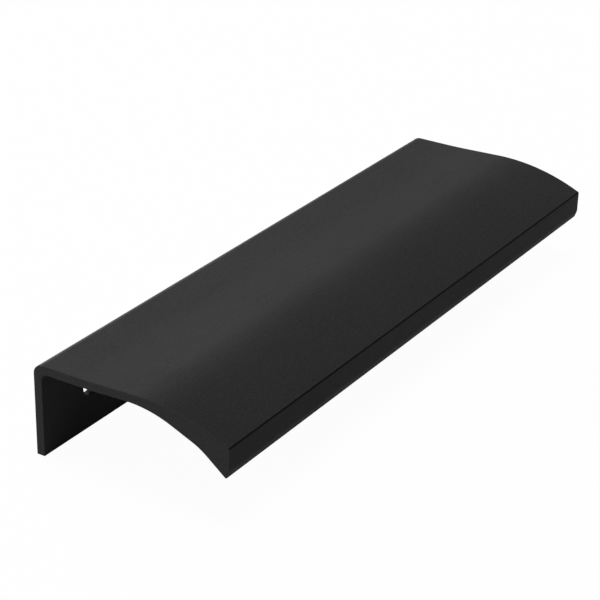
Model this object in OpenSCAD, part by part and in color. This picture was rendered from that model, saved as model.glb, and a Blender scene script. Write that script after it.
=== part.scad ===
// Edge pull: one aluminium extrusion, cut square, that hangs over the top edge of a door or a drawer front.
// A thin flange goes down behind the panel and is screwed to it. A web lies on the panel's edge, rises a
// little, and curls down in front as a grip with a wedge-shaped lip.
// X runs along the bar, Y to the back, Z up. The origin is the middle of the screw line on the seat face,
// which is the side of the flange that lies against the panel.

/* [Bar] */
// Length of the bar
bar_length = 160; // [145:1:400]
// Depth from the back of the flange to the front of the lip
bar_depth = 50; // [42:0.5:70]

/* [Screw flange] */
// Height of the flange, from the top face to its bottom edge
flange_height = 22; // [18:0.5:40]
// Thickness of the flange
flange_thickness = 2.1; // [1.5:0.1:4]
// Diameter of the screw holes
hole_diameter = 5.5; // [3:0.1:6.5]
// Distance from hole to hole
hole_spacing = 127; // [32:1:140]
// Height of the top face over the screw line
hole_drop = 11.5; // [8:0.1:14]

/* [Web] */
// Thickness of the web over the panel's edge
web_thickness = 2; // [1.5:0.1:3.5]
// Width of the level land, from the back of the flange
land_width = 13.5; // [8:0.5:20]
// Angle at which the web rises in front of the land
rise_angle = 2.2; // [0.5:0.1:5]
// Radius of the slow bend between the land and the rise
sweep_radius = 190; // [60:5:400]

/* [Crown] */
// Radius of the crown over the grip
crown_radius = 52; // [20:1:60]
// Slope of the crown where it meets the front edge
fall_angle = 24.5; // [15:0.5:35]
// Drop of the front edge below the land
front_drop = 4.35; // [2.5:0.05:8]

/* [Lip] */
// Height of the flat front face
front_height = 5.25; // [3:0.05:9]
// Lean of the front face, to the back at its bottom
front_lean = 0.4; // [0:0.1:6]
// Height of the nose that rounds the front face off below
nose_height = 2.1; // [1.5:0.1:4]
// How far the nose brings the tip back
nose_setback = 0.75; // [0.3:0.05:1.5]
// Width of the steep back of the lip
lip_width = 6.5; // [4:0.1:9]
// Slope of the steep back of the lip
lip_slope = 38; // [30:0.5:44]
// Width of the grip, from the front face to where the web begins to thicken
grip_width = 20; // [15:0.5:28]

/* [Edge radii] */
// Outer corner between the flange and the web
corner_radius = 2.45; // [0.5:0.05:4]
// Inner corner between the flange and the web
inner_radius = 1.5; // [0.2:0.1:2.5]
// Bottom edges of the flange
flange_edge_radius = 0.15; // [0.1:0.05:0.7]
// Front edge of the crown
front_edge_radius = 0.4; // [0.2:0.05:1]
// Nose under the front face
nose_radius = 1.5; // [0.5:0.1:2.5]
// Tip of the lip
tip_radius = 0.35; // [0.2:0.05:0.8]
// Bend between the grip and the steep back of the lip
lip_radius = 15; // [5:1:30]
// Bend where the web begins to thicken
grip_radius = 28; // [10:1:50]

/* [Hidden] */

// Longest chord of a round stretch, and the fewest chords in one
chord = 1.2;
fewest_chords = 8;
// Length that each hole's cutter stands out of the flange on both sides
cut_past = 1;
hole_facets = 64;

// Main lines of the section, in the plane of Y and Z
back_y = flange_thickness;
front_y = back_y - bar_depth;
top_z = hole_drop;
foot_z = top_z - flange_height;
land_y = back_y - land_width;
under_z = top_z - web_thickness;
grip_y = front_y + grip_width;
edge_z = top_z - front_drop;
nose_y = front_y + front_height * tan(front_lean);
nose_z = edge_z - front_height;
tip_y = nose_y + nose_setback;
tip_z = nose_z - nose_height;
lip_y = tip_y + lip_width;
lip_z = tip_z + lip_width * tan(lip_slope);

// The rise from the land and the fall to the front edge meet at the crown's corner
crown_y = (land_y * tan(rise_angle) + front_y * tan(fall_angle) + front_drop) / (tan(rise_angle) + tan(fall_angle));

// Height that the rise has reached at a place in front of the land
function risen(y) = (land_y - y) * tan(rise_angle);

// Corners of the section as [y, z, radius], from the back over the top to the lip, and back below
corners = [
    [back_y, top_z, corner_radius],
    [land_y, top_z, sweep_radius],
    [crown_y, top_z + risen(crown_y), crown_radius],
    [front_y, edge_z, front_edge_radius],
    [nose_y, nose_z, nose_radius],
    [tip_y, tip_z, tip_radius],
    [lip_y, lip_z, lip_radius],
    [grip_y, under_z + risen(grip_y), grip_radius],
    [land_y, under_z, sweep_radius],
    [0, under_z, inner_radius],
    [0, foot_z, flange_edge_radius],
    [back_y, foot_z, flange_edge_radius],
];

function at(c, i) = let (p = c[(i + len(c)) % len(c)]) [p[0], p[1]];
function edge(c, i) = at(c, i + 1) - at(c, i);
function turn(c, i) = atan2(cross(edge(c, i - 1), edge(c, i)), edge(c, i - 1) * edge(c, i));
// Length of an edge that a corner's round takes up
function taken(c, i) = let (k = (i + len(c)) % len(c)) c[k][2] * tan(abs(turn(c, k)) / 2);
// Share of its radius that a corner keeps where two rounds would meet on an edge
function share(c, i) = min(1, norm(edge(c, i)) / (taken(c, i) + taken(c, i + 1)));
function turned(v, a) = [v[0] * cos(a) - v[1] * sin(a), v[0] * sin(a) + v[1] * cos(a)];

// Points of the round at one corner, tangent to both of its edges
function round_at(c, i) =
    let (
        angle = turn(c, i),
        r = c[i][2] * min(share(c, i - 1), share(c, i)),
        inwards = edge(c, i - 1) / norm(edge(c, i - 1)),
        start = at(c, i) - inwards * r * tan(abs(angle) / 2),
        spoke = turned(inwards, -90 * sign(angle)) * r,
        count = max(fewest_chords, ceil(r * abs(angle) * PI / 180 / chord))
    )
    [for (k = [0 : count]) start - spoke + turned(spoke, angle * k / count)];

module section() {
    polygon([for (i = [0 : len(corners) - 1]) each round_at(corners, i)]);
}

// The section stands in the plane of Y and Z and is drawn out along X
module bar() {
    translate([-bar_length / 2, 0, 0])
        rotate([90, 0, 90])
            linear_extrude(bar_length)
                section();
}

module screw_holes() {
    for (side = [-1, 1])
        translate([side * hole_spacing / 2, flange_thickness + cut_past, 0])
            rotate([90, 0, 0])
                cylinder(h = flange_thickness + 2 * cut_past, d = hole_diameter, $fn = hole_facets);
}

module edge_pull() {
    color([0.045, 0.045, 0.047])
        difference() {
            bar();
            screw_holes();
        }
}

edge_pull();
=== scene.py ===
# %% [markdown]
# # An edge pull of black aluminium
#
# An edge pull hangs over the top edge of a door or a drawer front. A thin flange goes down behind the
# panel and takes two screws, a web lies on the panel's edge, and in front the web curls down into a grip
# that the fingers reach behind. It is one extrusion: the same section all along, sawn off square at both
# ends and then coated in a fine matte black.
#
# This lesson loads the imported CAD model, draws the section again with finer rounds, cuts the screw holes,
# breaks the sawn edges, and gives the bar its coat. The floor, the lamps and the camera come last.

# %% Load the frame
import math
from collections import namedtuple

import bpy
from mathutils import Matrix, Vector


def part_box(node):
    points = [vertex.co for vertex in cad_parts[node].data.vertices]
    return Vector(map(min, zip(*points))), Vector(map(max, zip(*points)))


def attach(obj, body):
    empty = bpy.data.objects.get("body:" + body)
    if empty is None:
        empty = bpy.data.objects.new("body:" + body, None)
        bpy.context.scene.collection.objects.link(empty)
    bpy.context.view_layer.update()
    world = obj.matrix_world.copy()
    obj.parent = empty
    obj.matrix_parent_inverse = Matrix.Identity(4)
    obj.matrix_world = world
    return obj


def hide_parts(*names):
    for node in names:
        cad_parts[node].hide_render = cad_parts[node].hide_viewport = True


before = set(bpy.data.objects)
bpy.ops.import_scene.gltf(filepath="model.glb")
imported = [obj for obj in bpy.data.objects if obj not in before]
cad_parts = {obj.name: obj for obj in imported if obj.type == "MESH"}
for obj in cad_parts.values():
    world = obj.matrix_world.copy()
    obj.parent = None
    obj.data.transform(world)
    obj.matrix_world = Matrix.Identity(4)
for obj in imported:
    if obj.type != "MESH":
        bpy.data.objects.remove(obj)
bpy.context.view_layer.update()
bar_low, bar_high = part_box("edge_pull")
print("CAD box in mm:", [round(1000 * value, 2) for value in (*bar_low, *bar_high)])

# %% [markdown]
# ## The section's corners
#
# The section could be a drawn curve or a list of points, but a maker's drawing gives an extrusion as a few
# straight lines with a radius at each corner, and that is also the easiest thing to change later. The
# overall sizes come from the CAD node's own box. The rest are the sizes in the part's drawing. The frame's
# origin is on the screw line, in the flange's face against the panel, so that seat and the screws are at 0.

# %% Heights, widths and slopes of the section
MM = 0.001
bar_length = bar_high.x - bar_low.x
back_y = bar_high.y
front_y = bar_low.y
foot_z = bar_low.z
seat_y = 0
screw_z = 0

top_z = 11.5 * MM
web_thickness = 2 * MM
land_y = -11.4 * MM
rise_angle = math.radians(2.2)
fall_angle = math.radians(24.5)
front_drop = 4.35 * MM
front_height = 5.25 * MM
front_lean = math.radians(0.4)
nose_height = 2.1 * MM
nose_setback = 0.75 * MM
lip_width = 6.5 * MM
lip_slope = math.radians(38)
grip_width = 20 * MM
print("section in mm:", round((back_y - front_y) / MM, 2), "deep, web", round(web_thickness / MM, 2), "thick")

# %% Radii of the section's corners
corner_radius = 2.45 * MM
sweep_radius = 190 * MM
crown_radius = 52 * MM
front_edge_radius = 0.4 * MM
nose_radius = 1.5 * MM
tip_radius = 0.35 * MM
lip_radius = 15 * MM
grip_radius = 28 * MM
inner_radius = 1.5 * MM
flange_edge_radius = 0.15 * MM
print("crown's radius in mm:", round(crown_radius / MM, 2))

# %% Places of the section's corners
def risen(y):
    """Height that the web has gained at a place in front of the level land."""
    return (land_y - y) * math.tan(rise_angle)


fall = math.tan(fall_angle)
rise = math.tan(rise_angle)
crown_y = (land_y * rise + front_y * fall + front_drop) / (rise + fall)
edge_z = top_z - front_drop
under_z = top_z - web_thickness
grip_y = front_y + grip_width
nose_y = front_y + front_height * math.tan(front_lean)
nose_z = edge_z - front_height
tip_y = nose_y + nose_setback
tip_z = nose_z - nose_height
lip_y = tip_y + lip_width
lip_z = tip_z + lip_width * math.tan(lip_slope)

# Each corner is its place in the plane of Y and Z and the radius that rounds it, from the back over the top
section_corners = [
    (back_y, top_z, corner_radius),
    (land_y, top_z, sweep_radius),
    (crown_y, top_z + risen(crown_y), crown_radius),
    (front_y, edge_z, front_edge_radius),
    (nose_y, nose_z, nose_radius),
    (tip_y, tip_z, tip_radius),
    (lip_y, lip_z, lip_radius),
    (grip_y, under_z + risen(grip_y), grip_radius),
    (land_y, under_z, sweep_radius),
    (seat_y, under_z, inner_radius),
    (seat_y, foot_z, flange_edge_radius),
    (back_y, foot_z, flange_edge_radius),
]
FRONT_EDGE = section_corners.index((front_y, edge_z, front_edge_radius))
print("corners in the section:", len(section_corners), "and the front edge is number", FRONT_EDGE)

# %% [markdown]
# ## How each corner is rounded
#
# A round touches the two lines beside its corner. The touching points lie at the radius times the tangent of
# half the turn, and the centre of the round stands square to the line at the first of them. A turn to the
# left is an outside corner and a turn to the right is a hollow.

# %% Start, end, centre and turn of each round
Round = namedtuple("Round", "start end centre turn radius")


def corner_place(index):
    """The corner's place, before it is rounded."""
    y, z = section_corners[index % len(section_corners)][:2]
    return Vector((0, y, z))


def round_of(index):
    """The round at a corner, with its turn in radians."""
    here = corner_place(index)
    arriving = (here - corner_place(index - 1)).normalized()
    leaving = (corner_place(index + 1) - here).normalized()
    turn = math.atan2(arriving.cross(leaving).x, arriving.dot(leaving))
    radius = section_corners[index][2]
    reach = radius * math.tan(abs(turn) / 2)
    start = here - arriving * reach
    side = Vector((0, -arriving.z, arriving.y)) * math.copysign(1, turn)
    return Round(start, here + leaving * reach, start + side * radius, turn, radius)


rounds = [round_of(index) for index in range(len(section_corners))]
print("turn at each corner in degrees:", [round(math.degrees(each.turn), 1) for each in rounds])
print("whole turn in degrees:", round(math.degrees(sum(each.turn for each in rounds)), 2))

# %% [markdown]
# ## Drawing the bar
#
# A real bar leaves the die as one skin with a constant section. Here it is made much the same way. A plane
# the size of the flange's flat back is the start. Its upper edge runs the whole length of the bar, and this
# edge is led round the section: Spin takes it round each corner about the round's centre, and Extrude takes
# it straight on to the next corner. Spin counts its angle the other way round, so each turn is given with a
# minus. Fine steps keep the tight rounds smooth. The edge ends where it began, so the doubles are merged.

# %% Choose points by their place, and facets by the round
SAME_PLACE = 0.01 * MM
MOST_TURN = math.radians(5)
LONGEST_FACET = 0.8 * MM
FEWEST_FACETS = 6


def alike(one, other):
    """True for two measures that mean the same place."""
    return abs(one - other) < SAME_PLACE


def select_where(piece, test):
    """Selects just the vertices whose place passes the test, and leaves the piece in edit mode."""
    bpy.ops.object.mode_set(mode="OBJECT")
    mesh = piece.data
    mesh.polygons.foreach_set("select", [False] * len(mesh.polygons))
    mesh.edges.foreach_set("select", [False] * len(mesh.edges))
    mesh.vertices.foreach_set("select", [bool(test(vertex.co)) for vertex in mesh.vertices])
    bpy.ops.object.mode_set(mode="EDIT")
    bpy.ops.mesh.select_mode(type="VERT")


def facets_in(bend):
    """Number of straight facets that stand for a round."""
    arc = abs(bend.turn) * bend.radius
    return max(FEWEST_FACETS, math.ceil(abs(bend.turn) / MOST_TURN), math.ceil(arc / LONGEST_FACET))


print("facets in each round:", [facets_in(each) for each in rounds])

# %% Lead one long edge round the section
SKIN_MERGE = 0.002 * MM

bpy.ops.object.select_all(action="DESELECT")
flat_foot = rounds[-1].end
flat_top = rounds[0].start
bpy.ops.mesh.primitive_plane_add(
    size=1,
    location=(flat_foot + flat_top) / 2,
    rotation=(math.radians(-90), 0, 0),
)
pull_bar = bpy.context.object
pull_bar.name = "pull_bar"
pull_bar.scale = (bar_length, flat_top.z - flat_foot.z, 1)
bpy.ops.object.transform_apply(location=True, rotation=True, scale=True)
select_where(pull_bar, lambda place: alike(place.z, flat_top.z))
for here, following in zip(rounds, rounds[1:] + rounds[:1]):
    bpy.ops.mesh.spin(steps=facets_in(here), angle=-here.turn, center=here.centre, axis=(1, 0, 0))
    bpy.ops.mesh.extrude_edges_move(TRANSFORM_OT_translate={"value": following.start - here.end})
bpy.ops.mesh.select_all(action="SELECT")
bpy.ops.mesh.remove_doubles(threshold=SKIN_MERGE)
bpy.ops.object.mode_set(mode="OBJECT")
print("faces of the skin:", len(pull_bar.data.polygons))

# %% Close both sawn ends
for side in (bar_low.x, bar_high.x):
    select_where(pull_bar, lambda place: alike(place.x, side))
    bpy.ops.mesh.edge_face_add()
bpy.ops.mesh.select_all(action="SELECT")
bpy.ops.mesh.normals_make_consistent(inside=False)
bpy.ops.object.mode_set(mode="OBJECT")
print("faces of the closed bar:", len(pull_bar.data.polygons))

# %% [markdown]
# ## The screw holes
#
# Two screws hold the flange against the panel. The holes are drilled after the bar is sawn, so here too a
# drill is run through the finished flange: a cylinder takes its place away with a Boolean modifier. The
# exact solver is used, because the flange's faces and the drill cross squarely and leave clean edges.

# %% Drill the two screw holes
DRILL_SIDES = 96
hole_radius = 2.75 * MM
hole_spacing = 127 * MM
hole_places = [-hole_spacing / 2, hole_spacing / 2]
drill_length = 4 * back_y


def work_on(piece):
    """Makes one piece the only selected and the active one, in object mode."""
    if bpy.context.object and bpy.context.object.mode != "OBJECT":
        bpy.ops.object.mode_set(mode="OBJECT")
    bpy.ops.object.select_all(action="DESELECT")
    piece.select_set(True)
    bpy.context.view_layer.objects.active = piece


for hole_x in hole_places:
    bpy.ops.object.select_all(action="DESELECT")
    bpy.ops.mesh.primitive_cylinder_add(
        vertices=DRILL_SIDES,
        radius=hole_radius,
        depth=drill_length,
        location=(hole_x, back_y / 2, screw_z),
        rotation=(math.pi / 2, 0, 0),
    )
    drill = bpy.context.object
    work_on(pull_bar)
    bpy.ops.object.modifier_add(type="BOOLEAN")
    cut = pull_bar.modifiers[-1]
    cut.operation = "DIFFERENCE"
    cut.solver = "EXACT"
    cut.object = drill
    bpy.ops.object.modifier_apply(modifier=cut.name)
    bpy.data.objects.remove(drill)
print("faces after drilling:", len(pull_bar.data.polygons))

# %% [markdown]
# ## The edges
#
# No real edge is perfectly sharp. The saw's burr is brushed off the ends before coating, and so is the
# drill's. The photograph shows no bright line there, so the breaks are kept fine. The Bevel operator rounds
# just those edges. It also gives the new faces the second material, a touch paler and smoother, partly
# because the coat lies thinner on an edge and hands rub it there, and partly as a painted highlight.

# %% Break the sawn edges and the rims of the holes
SAWN_BREAK = 0.1 * MM
RIM_BREAK = 0.14 * MM
BREAK_FACETS = 3
ROUND_PROFILE = 0.5

coat = bpy.data.materials.new("matte_black_coat")
# partly wear, partly painted highlight: the broken edges get a paler coat where light catches them
rubbed_edge_and_highlight = bpy.data.materials.new("rubbed_and_highlit_coat_edge")
pull_bar.data.materials.append(coat)
pull_bar.data.materials.append(rubbed_edge_and_highlight)
RUBBED_AND_HIGHLIT_SLOT = pull_bar.data.materials.find(rubbed_edge_and_highlight.name)


def break_edges(width):
    """Rounds the selected edges, and paints the new faces as rubbed ones with a painted highlight."""
    bpy.ops.mesh.bevel(
        offset_type="OFFSET",
        offset=width,
        segments=BREAK_FACETS,
        profile=ROUND_PROFILE,
        affect="EDGES",
        clamp_overlap=False,
        material=RUBBED_AND_HIGHLIT_SLOT,
    )


def on_rim(place, face_y):
    """True on the rim of a hole, on the face of the flange at that depth."""
    reach = min(math.hypot(place.x - hole_x, place.z - screw_z) for hole_x in hole_places)
    return alike(reach, hole_radius) and alike(place.y, face_y)


for side in (bar_low.x, bar_high.x):
    select_where(pull_bar, lambda place: alike(place.x, side))
    break_edges(SAWN_BREAK)
for face_y in (seat_y, back_y):
    select_where(pull_bar, lambda place: on_rim(place, face_y))
    break_edges(RIM_BREAK)
bpy.ops.mesh.select_all(action="SELECT")
bpy.ops.mesh.normals_make_consistent(inside=False)
bpy.ops.object.mode_set(mode="OBJECT")
print("faces with broken edges:", len(pull_bar.data.polygons))

# %% [markdown]
# ## The front edge
#
# Where the crown meets the flat front, the photograph shows a fine dark line from end to end. That line is
# shade, and a round this small can't be dark by shade alone under soft lamps, so the shade is painted into
# its faces: a coat of their own with the same grain, but darker and with less sheen than the faces beside it.

# %% Paint shade onto the front edge
# painted shade: the front edge's own darker coat stands in for the shade of the fine dark line
painted_edge_shade = bpy.data.materials.new("painted_shade_front_edge")
pull_bar.data.materials.append(painted_edge_shade)
PAINTED_SHADE_SLOT = pull_bar.data.materials.find(painted_edge_shade.name)


def on_front_edge(place):
    """True on the small round where the crown meets the flat front."""
    centre = rounds[FRONT_EDGE].centre
    return math.hypot(place.y - centre.y, place.z - centre.z) < front_edge_radius + SAME_PLACE


select_where(pull_bar, on_front_edge)
bpy.ops.mesh.select_mode(type="FACE")
pull_bar.active_material_index = PAINTED_SHADE_SLOT
bpy.ops.object.material_slot_assign()
bpy.ops.object.mode_set(mode="OBJECT")
painted = sum(face.material_index == PAINTED_SHADE_SLOT for face in pull_bar.data.polygons)
print("faces on the front edge:", painted)

# %% [markdown]
# ## Smooth rounds and flat flats
#
# The real skin has no facets. Smooth shading blends faces that meet at a small angle, such as the facets of
# the rounds and of the broken edges. It would also bend the light on the wide flats beside them, and the
# Weighted Normal modifier stops that: the largest face at each point has most of the say.

# %% Smooth the rounds and keep the flats flat
SMOOTH_BELOW = math.radians(32)

work_on(pull_bar)
bpy.ops.object.shade_smooth_by_angle(angle=SMOOTH_BELOW)
bpy.ops.object.modifier_add(type="WEIGHTED_NORMAL")
flats = pull_bar.modifiers[-1]
flats.keep_sharp = True
bpy.ops.object.modifier_apply(modifier=flats.name)
for axis, reach in zip("XYZ", zip(*pull_bar.bound_box)):
    print(f"pull_bar along {axis} in mm: {min(reach) / MM:.3f} to {max(reach) / MM:.3f}")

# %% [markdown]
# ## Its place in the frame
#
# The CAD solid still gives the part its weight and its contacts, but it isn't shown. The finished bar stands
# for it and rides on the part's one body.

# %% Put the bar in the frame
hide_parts("edge_pull")
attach(pull_bar, "root")
print("pull_bar stands for the CAD node edge_pull")

# %% [markdown]
# ## The coat
#
# The finish is a fine matte black, like a thin powder coat: a very dark grey with a grain that is only just
# visible, and a soft sheen instead of a shine. Two patterns on Object coordinates make it. A fine noise is
# the grain, which also lifts the surface a little, and a broad noise changes the sheen slowly along the bar,
# as a sprayed coat does. The rubbed edges are a touch paler and smoother, partly as wear and partly as a
# painted highlight, and the front edge is darker as painted shade.

# %% Add and join material nodes
def new_node(owner, kind, **values):
    """A node of a material or a world, with its sockets or settings given by name."""
    node = owner.node_tree.nodes.new(kind)
    for name, value in values.items():
        if name in node.inputs:
            node.inputs[name].default_value = value
        else:
            setattr(node, name, value)
    return node


def join(owner, source, target):
    """A link from an output socket to an input socket."""
    owner.node_tree.links.new(source, target)


print("helpers: new_node and join")

# %% Mix the matte black coat
GRAIN_SCALE = 2400
CLOUD_SCALE = 55
NOISE_LOW = 0.3
NOISE_HIGH = 0.7
GRAIN_STRENGTH = 0.35
GRAIN_HEIGHT = 0.03 * MM


def mix_coat(material, dark, light, least_rough, most_rough, specular):
    """Fills a material with the grained coat, between two greys and two roughnesses."""
    material.use_nodes = True
    material.node_tree.nodes.clear()
    output = new_node(material, "ShaderNodeOutputMaterial")
    shader = new_node(material, "ShaderNodeBsdfPrincipled")
    shader.inputs["Specular IOR Level"].default_value = specular
    join(material, shader.outputs["BSDF"], output.inputs["Surface"])

    place = new_node(material, "ShaderNodeTexCoord")
    grain = new_node(material, "ShaderNodeTexNoise", Scale=GRAIN_SCALE, Detail=3, Roughness=0.6)
    cloud = new_node(material, "ShaderNodeTexNoise", Scale=CLOUD_SCALE, Detail=2, Roughness=0.5)
    join(material, place.outputs["Object"], grain.inputs["Vector"])
    join(material, place.outputs["Object"], cloud.inputs["Vector"])

    colour = new_node(material, "ShaderNodeValToRGB")
    for stop, position, grey in zip(colour.color_ramp.elements, (NOISE_LOW, NOISE_HIGH), (dark, light)):
        stop.position = position
        stop.color = (grey, grey, grey, 1)
    join(material, grain.outputs["Fac"], colour.inputs["Fac"])
    join(material, colour.outputs["Color"], shader.inputs["Base Color"])

    sheen = new_node(material, "ShaderNodeMapRange")
    sheen.inputs["From Min"].default_value = NOISE_LOW
    sheen.inputs["From Max"].default_value = NOISE_HIGH
    sheen.inputs["To Min"].default_value = least_rough
    sheen.inputs["To Max"].default_value = most_rough
    join(material, cloud.outputs["Fac"], sheen.inputs["Value"])
    join(material, sheen.outputs["Result"], shader.inputs["Roughness"])

    bump = new_node(material, "ShaderNodeBump", Strength=GRAIN_STRENGTH, Distance=GRAIN_HEIGHT)
    join(material, grain.outputs["Fac"], bump.inputs["Height"])
    join(material, bump.outputs["Normal"], shader.inputs["Normal"])


mix_coat(coat, dark=0.02, light=0.032, least_rough=0.72, most_rough=0.78, specular=0.04)
# partly wear, partly painted highlight: a touch paler and smoother than the coat
mix_coat(rubbed_edge_and_highlight, dark=0.022, light=0.034, least_rough=0.68, most_rough=0.74, specular=0.045)
# painted shade: a darker coat with less sheen on the front edge's round
mix_coat(painted_edge_shade, dark=0.005, light=0.009, least_rough=0.72, most_rough=0.78, specular=0.02)
print("materials on the bar:", [material.name for material in pull_bar.data.materials])

# %% [markdown]
# ## White to the eye
#
# The bar was photographed on plain white. A floor that is merely painted white would need so much light that
# the black coat turned grey. So the floor, and the air past its edge, shine by themselves where the camera
# sees them, and for gloss and glass too. For all other light they stay what they are.

# %% Show white to the camera, gloss and glass
WHITE = (1, 1, 1, 1)


def white_to_the_eye(owner, share):
    """An output that is the given share for camera, gloss and glass rays, and nothing for the others."""
    rays = new_node(owner, "ShaderNodeLightPath")
    seen = rays.outputs["Is Camera Ray"]
    for kind in ("Is Glossy Ray", "Is Transmission Ray"):
        either = new_node(owner, "ShaderNodeMath", operation="MAXIMUM")
        join(owner, seen, either.inputs[0])
        join(owner, rays.outputs[kind], either.inputs[1])
        seen = either.outputs["Value"]
    amount = new_node(owner, "ShaderNodeMath", operation="MULTIPLY")
    amount.inputs[1].default_value = share
    join(owner, seen, amount.inputs[0])
    return amount.outputs["Value"]


def blend_to_white(owner, plain, white, share):
    """The output of a mix that shows the white shader to the eye and the plain one to all other rays."""
    blend = new_node(owner, "ShaderNodeMixShader")
    join(owner, white_to_the_eye(owner, share), blend.inputs["Fac"])
    join(owner, plain, blend.inputs[1])
    join(owner, white, blend.inputs[2])
    return blend.outputs["Shader"]


print("helpers: white_to_the_eye and blend_to_white")

# %% [markdown]
# ## Floor
#
# To the lamps the floor is plain white paper, which throws light up at the front face. A small share of the
# paper also shows to the camera, and with it a faint shadow under the bar. The floor lies a hair below the
# flange's foot, so that the two faces don't lie in one place.

# %% Lay the floor
WHITE_SHARE = 0.97
FLOOR_SIZE = 12
FLOOR_GAP = 0.02 * MM
PAPER = (0.9, 0.9, 0.9, 1)

bpy.ops.object.select_all(action="DESELECT")
bpy.ops.mesh.primitive_plane_add(size=FLOOR_SIZE, location=(0, 0, foot_z - FLOOR_GAP))
floor = bpy.context.object
floor.name = "floor"
floor_white = bpy.data.materials.new("white_floor")
floor_white.use_nodes = True
floor_white.node_tree.nodes.clear()
floor_output = new_node(floor_white, "ShaderNodeOutputMaterial")
floor_paint = new_node(floor_white, "ShaderNodeBsdfDiffuse", Color=PAPER)
floor_shine = new_node(floor_white, "ShaderNodeEmission", Color=WHITE, Strength=1)
floor_blend = blend_to_white(
    floor_white, floor_paint.outputs["BSDF"], floor_shine.outputs["Emission"], WHITE_SHARE
)
join(floor_white, floor_blend, floor_output.inputs["Surface"])
floor.data.materials.append(floor_white)
print("floor lies at", round(floor.location.z / MM, 2), "mm")

# %% [markdown]
# ## Light
#
# Past the floor's edge the air is white to the eye and in gloss as well, and nearly dark for all else. The
# light comes from three soft lamps. One hangs straight above and gives the bar its plain grey. Two long low
# ones stand behind, so near the horizon that only the level web catches them: the crown turns away and goes
# dark within a few degrees, which draws its shape. The front face gets what the floor throws back.

# %% White air around the studio
DIM_AIR = 0.01

world = bpy.data.worlds.new("studio_air")
world.use_nodes = True
world.node_tree.nodes.clear()
air_output = new_node(world, "ShaderNodeOutputWorld")
air_dim = new_node(world, "ShaderNodeBackground", Color=WHITE, Strength=DIM_AIR)
air_white = new_node(world, "ShaderNodeBackground", Color=WHITE, Strength=1)
air_blend = blend_to_white(world, air_dim.outputs["Background"], air_white.outputs["Background"], 1)
join(world, air_blend, air_output.inputs["Surface"])
bpy.context.scene.world = world
print("air:", DIM_AIR, "as light, 1 to the eye")

# %% Hang the lamps
LAMP_AWAY = 4
aim = Vector((-5.72, -16.87, 1.68)) * MM


def hang_lamp(name, azimuth, elevation, width, height, radiance):
    """A soft lamp aimed at the bar. Azimuth runs from +X towards +Y."""
    level = math.cos(math.radians(elevation))
    direction = Vector((
        math.cos(math.radians(azimuth)) * level,
        math.sin(math.radians(azimuth)) * level,
        math.sin(math.radians(elevation)),
    ))
    bpy.ops.object.light_add(type="AREA", location=aim + direction * LAMP_AWAY)
    lamp = bpy.context.object
    lamp.name = name
    lamp.rotation_euler = direction.to_track_quat("Z", "Y").to_euler()
    lamp.data.shape = "RECTANGLE"
    lamp.data.size = width
    lamp.data.size_y = height
    lamp.data.energy = radiance * math.pi * width * height
    lamp.visible_camera = False
    print(name, "gives", round(lamp.data.energy, 1), "W")


hang_lamp("lamp_above", azimuth=0, elevation=90, width=1.8, height=1.8, radiance=11.8)
hang_lamp("lamp_low_right", azimuth=60, elevation=6, width=2.4, height=0.6, radiance=34)
hang_lamp("lamp_low_left", azimuth=120, elevation=6, width=2.4, height=0.6, radiance=28)

# %% [markdown]
# ## Camera
#
# The camera stands where the photographer's did: in front of the bar and past its left end, looking down at
# it through a long lens. Its place was found by laying the section's straight lines over those in the
# photograph. An unturned camera looks straight down, so it is rolled by about a degree, tipped up, turned
# about the upright axis, and last moved back from the place that it is aimed at.

# %% The camera at the photograph's place
heading = math.radians(57.756)
looking_down = math.radians(25.977)
roll = math.radians(1.114)
distance = 464.94 * MM

bpy.ops.object.camera_add()
camera = bpy.context.object
camera.name = "studio_camera"
turned = (
    Matrix.Rotation(-heading, 3, "Z")
    @ Matrix.Rotation(math.pi / 2 - looking_down, 3, "X")
    @ Matrix.Rotation(roll, 3, "Z")
)
camera.matrix_world = Matrix.Translation(aim + turned @ Vector((0, 0, distance))) @ turned.to_4x4()
camera.data.lens = 118.34
camera.data.sensor_width = 36
camera.data.clip_start = 0.01
camera.data.clip_end = 50
bpy.context.scene.camera = camera
bpy.context.scene.view_settings.view_transform = "Standard"
print("camera stands at", [round(value, 4) for value in camera.location])
